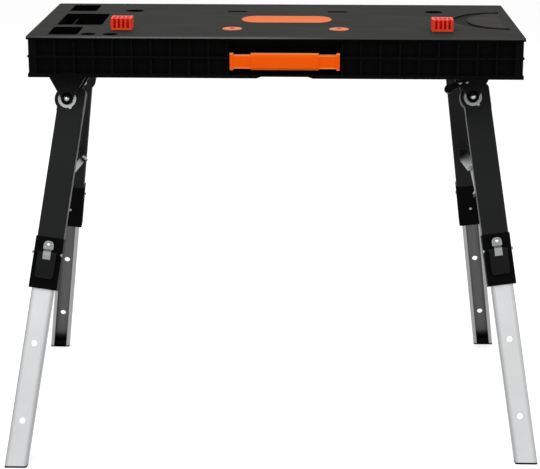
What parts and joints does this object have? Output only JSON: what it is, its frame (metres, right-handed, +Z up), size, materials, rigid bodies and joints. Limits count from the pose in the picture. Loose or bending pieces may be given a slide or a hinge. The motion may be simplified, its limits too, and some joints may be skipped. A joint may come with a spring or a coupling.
{
  "type": "folding workbench",
  "caption": "Folding workbench with a ribbed black deck, tool trays, bench dogs and a carry handle on splayed telescopic legs that fold flat under it.",
  "frame": {"origin": "on the floor midway between the feet", "axes": "+Z up, +X to the right of the person who stands at the front, -Y towards that person"},
  "size_m": [0.9734, 0.7288, 0.776],
  "materials": {
    "deck_plastic": "fine grained black plastic",
    "frame_plastic": "moulded black plastic",
    "orange_plastic": "orange plastic",
    "red_plastic": "red plastic",
    "black_paint": "powder coated steel",
    "zinc": "zinc plated steel",
    "aluminium": "satin anodised",
    "foot_rubber": "black"
  },
  "bodies": {
    "bench": {"top_panel": "deck_plastic", "apron_frame": "frame_plastic", "badge_plate": "orange_plastic", "hole_plugs": "orange_plastic", "cross_rail_left": "black_paint", "cross_rail_right": "black_paint", "rail_screws": "zinc", "bracket_bolts": "zinc", "bracket_nuts": "zinc", "pivot_bolts": "zinc", "pivot_nuts": "zinc", "hinge_bracket_front_left": "black_paint", "hinge_bracket_rear_left": "black_paint", "hinge_bracket_rear_right": "black_paint", "hinge_bracket_front_right": "black_paint"},
    "carry_handle": {"carry_handle": "orange_plastic"},
    "bench_dog_left": {"bench_dog_left": "red_plastic"},
    "bench_dog_right": {"bench_dog_right": "red_plastic"},
    "leg_front_left": {"upper_leg_front_left": "black_paint", "lock_disc_front_left": "zinc", "leg_collar_front_left": "frame_plastic", "latch_axle_front_left": "zinc", "latch_spring_front_left": "zinc"},
    "slider_front_left": {"lower_leg_front_left": "aluminium", "leg_foot_front_left": "foot_rubber"},
    "latch_front_left": {"latch_flap_front_left": "frame_plastic", "lock_pin_front_left": "zinc"},
    "leg_rear_left": {"upper_leg_rear_left": "black_paint", "lock_disc_rear_left": "zinc", "leg_collar_rear_left": "frame_plastic", "latch_axle_rear_left": "zinc", "latch_spring_rear_left": "zinc"},
    "slider_rear_left": {"lower_leg_rear_left": "aluminium", "leg_foot_rear_left": "foot_rubber"},
    "latch_rear_left": {"latch_flap_rear_left": "frame_plastic", "lock_pin_rear_left": "zinc"},
    "lock_lever_rear_left": {"lock_lever_rear_left": "frame_plastic"},
    "leg_rear_right": {"upper_leg_rear_right": "black_paint", "lock_disc_rear_right": "zinc", "leg_collar_rear_right": "frame_plastic", "latch_axle_rear_right": "zinc", "latch_spring_rear_right": "zinc"},
    "slider_rear_right": {"lower_leg_rear_right": "aluminium", "leg_foot_rear_right": "foot_rubber"},
    "latch_rear_right": {"latch_flap_rear_right": "frame_plastic", "lock_pin_rear_right": "zinc"},
    "leg_front_right": {"upper_leg_front_right": "black_paint", "lock_disc_front_right": "zinc", "leg_collar_front_right": "frame_plastic", "latch_axle_front_right": "zinc", "latch_spring_front_right": "zinc"},
    "slider_front_right": {"lower_leg_front_right": "aluminium", "leg_foot_front_right": "foot_rubber"},
    "latch_front_right": {"latch_flap_front_right": "frame_plastic", "lock_pin_front_right": "zinc"},
    "lock_lever_front_right": {"lock_lever_front_right": "frame_plastic"},
    "stay_short_left": {"stay_short_link_left": "zinc"},
    "stay_long_left": {"stay_long_link_left": "zinc"},
    "stay_short_right": {"stay_short_link_right": "zinc"},
    "stay_long_right": {"stay_long_link_right": "zinc"}
  },
  "joints": [
    {"name": "front_left_fold", "type": "hinge", "parent": "bench", "child": "leg_front_left", "pos_m": [-0.369, -0.1385, 0.627], "axis": [0, -0.9455, 0.3256], "range_deg": [0, 97.7]},
    {"name": "front_left_slide", "type": "slide", "parent": "leg_front_left", "child": "slider_front_left", "axis": [0.134, 0.3226, 0.937], "range_m": [0, 0.2]},
    {"name": "front_left_latch", "type": "hinge", "parent": "leg_front_left", "child": "latch_front_left", "pos_m": [-0.39949, -0.24687, 0.36664], "axis": [-0.991, 0.0436, 0.1267], "range_deg": [0, 9], "stiffness_Nm_per_rad": 0.6, "springref_deg": -8.59},
    {"name": "rear_left_fold", "type": "hinge", "parent": "bench", "child": "leg_rear_left", "pos_m": [-0.369, 0.0975, 0.627], "axis": [0, -0.9455, -0.3256], "range_deg": [0, 97.7]},
    {"name": "rear_left_slide", "type": "slide", "parent": "leg_rear_left", "child": "slider_rear_left", "axis": [0.134, -0.3226, 0.937], "range_m": [0, 0.2]},
    {"name": "rear_left_latch", "type": "hinge", "parent": "leg_rear_left", "child": "latch_rear_left", "pos_m": [-0.41435, 0.20521, 0.36854], "axis": [0.991, 0.0436, -0.1267], "range_deg": [0, 9], "stiffness_Nm_per_rad": 0.6, "springref_deg": -8.59},
    {"name": "rear_left_lock", "type": "hinge", "parent": "bench", "child": "lock_lever_rear_left", "pos_m": [-0.345, 0.10194, 0.65497], "axis": [0, -0.9455, -0.3256], "range_deg": [0, 25], "stiffness_Nm_per_rad": 0.2, "springref_deg": -8.59},
    {"name": "rear_right_fold", "type": "hinge", "parent": "bench", "child": "leg_rear_right", "pos_m": [0.369, 0.1385, 0.627], "axis": [0, 0.9455, 0.3256], "range_deg": [0, 97.7]},
    {"name": "rear_right_slide", "type": "slide", "parent": "leg_rear_right", "child": "slider_rear_right", "axis": [-0.134, -0.3226, 0.937], "range_m": [0, 0.2]},
    {"name": "rear_right_latch", "type": "hinge", "parent": "leg_rear_right", "child": "latch_rear_right", "pos_m": [0.39949, 0.24687, 0.36664], "axis": [0.991, -0.0436, 0.1267], "range_deg": [0, 9], "stiffness_Nm_per_rad": 0.6, "springref_deg": -8.59},
    {"name": "front_right_fold", "type": "hinge", "parent": "bench", "child": "leg_front_right", "pos_m": [0.369, -0.0975, 0.627], "axis": [0, 0.9455, -0.3256], "range_deg": [0, 97.7]},
    {"name": "front_right_slide", "type": "slide", "parent": "leg_front_right", "child": "slider_front_right", "axis": [-0.134, 0.3226, 0.937], "range_m": [0, 0.2]},
    {"name": "front_right_latch", "type": "hinge", "parent": "leg_front_right", "child": "latch_front_right", "pos_m": [0.41435, -0.20521, 0.36854], "axis": [-0.991, -0.0436, -0.1267], "range_deg": [0, 9], "stiffness_Nm_per_rad": 0.6, "springref_deg": -8.59},
    {"name": "front_right_lock", "type": "hinge", "parent": "bench", "child": "lock_lever_front_right", "pos_m": [0.345, -0.10194, 0.65497], "axis": [0, 0.9455, -0.3256], "range_deg": [0, 25], "stiffness_Nm_per_rad": 0.2, "springref_deg": -8.59},
    {"name": "left_stay_short", "type": "hinge", "parent": "leg_front_left", "child": "stay_short_left", "pos_m": [-0.38128, -0.17172, 0.45556], "axis": [-0.7344, 0, -0.6787], "range_deg": [0, 105.49]},
    {"name": "left_stay_long", "type": "hinge", "parent": "leg_rear_left", "child": "stay_long_left", "pos_m": [-0.38128, 0.13072, 0.45556], "axis": [0.7344, 0, 0.6787], "range_deg": [0, 67.72]},
    {"name": "right_stay_short", "type": "hinge", "parent": "leg_rear_right", "child": "stay_short_right", "pos_m": [0.38128, 0.17172, 0.45556], "axis": [0.7344, 0, -0.6787], "range_deg": [0, 105.49]},
    {"name": "right_stay_long", "type": "hinge", "parent": "leg_front_right", "child": "stay_long_right", "pos_m": [0.38128, -0.13072, 0.45556], "axis": [-0.7344, 0, 0.6787], "range_deg": [0, 67.72]},
    {"name": "dog_left_lift", "type": "slide", "parent": "bench", "child": "bench_dog_left", "axis": [0, 0, 1], "range_m": [0, 0.03]},
    {"name": "dog_right_lift", "type": "slide", "parent": "bench", "child": "bench_dog_right", "axis": [0, 0, 1], "range_m": [0, 0.03]},
    {"name": "handle_pull", "type": "slide", "parent": "bench", "child": "carry_handle", "axis": [0, -1, 0], "range_m": [0, 0.028]}
  ],
  "couplings": [
    {"joint": "rear_left_fold", "follows": "front_left_fold", "ratio": 1},
    {"joint": "left_stay_short", "follows": "front_left_fold", "ratio": 1.0798},
    {"joint": "left_stay_long", "follows": "front_left_fold", "ratio": 0.69316},
    {"joint": "front_right_fold", "follows": "rear_right_fold", "ratio": 1},
    {"joint": "right_stay_short", "follows": "rear_right_fold", "ratio": 1.0798},
    {"joint": "right_stay_long", "follows": "rear_right_fold", "ratio": 0.69316}
  ]
}
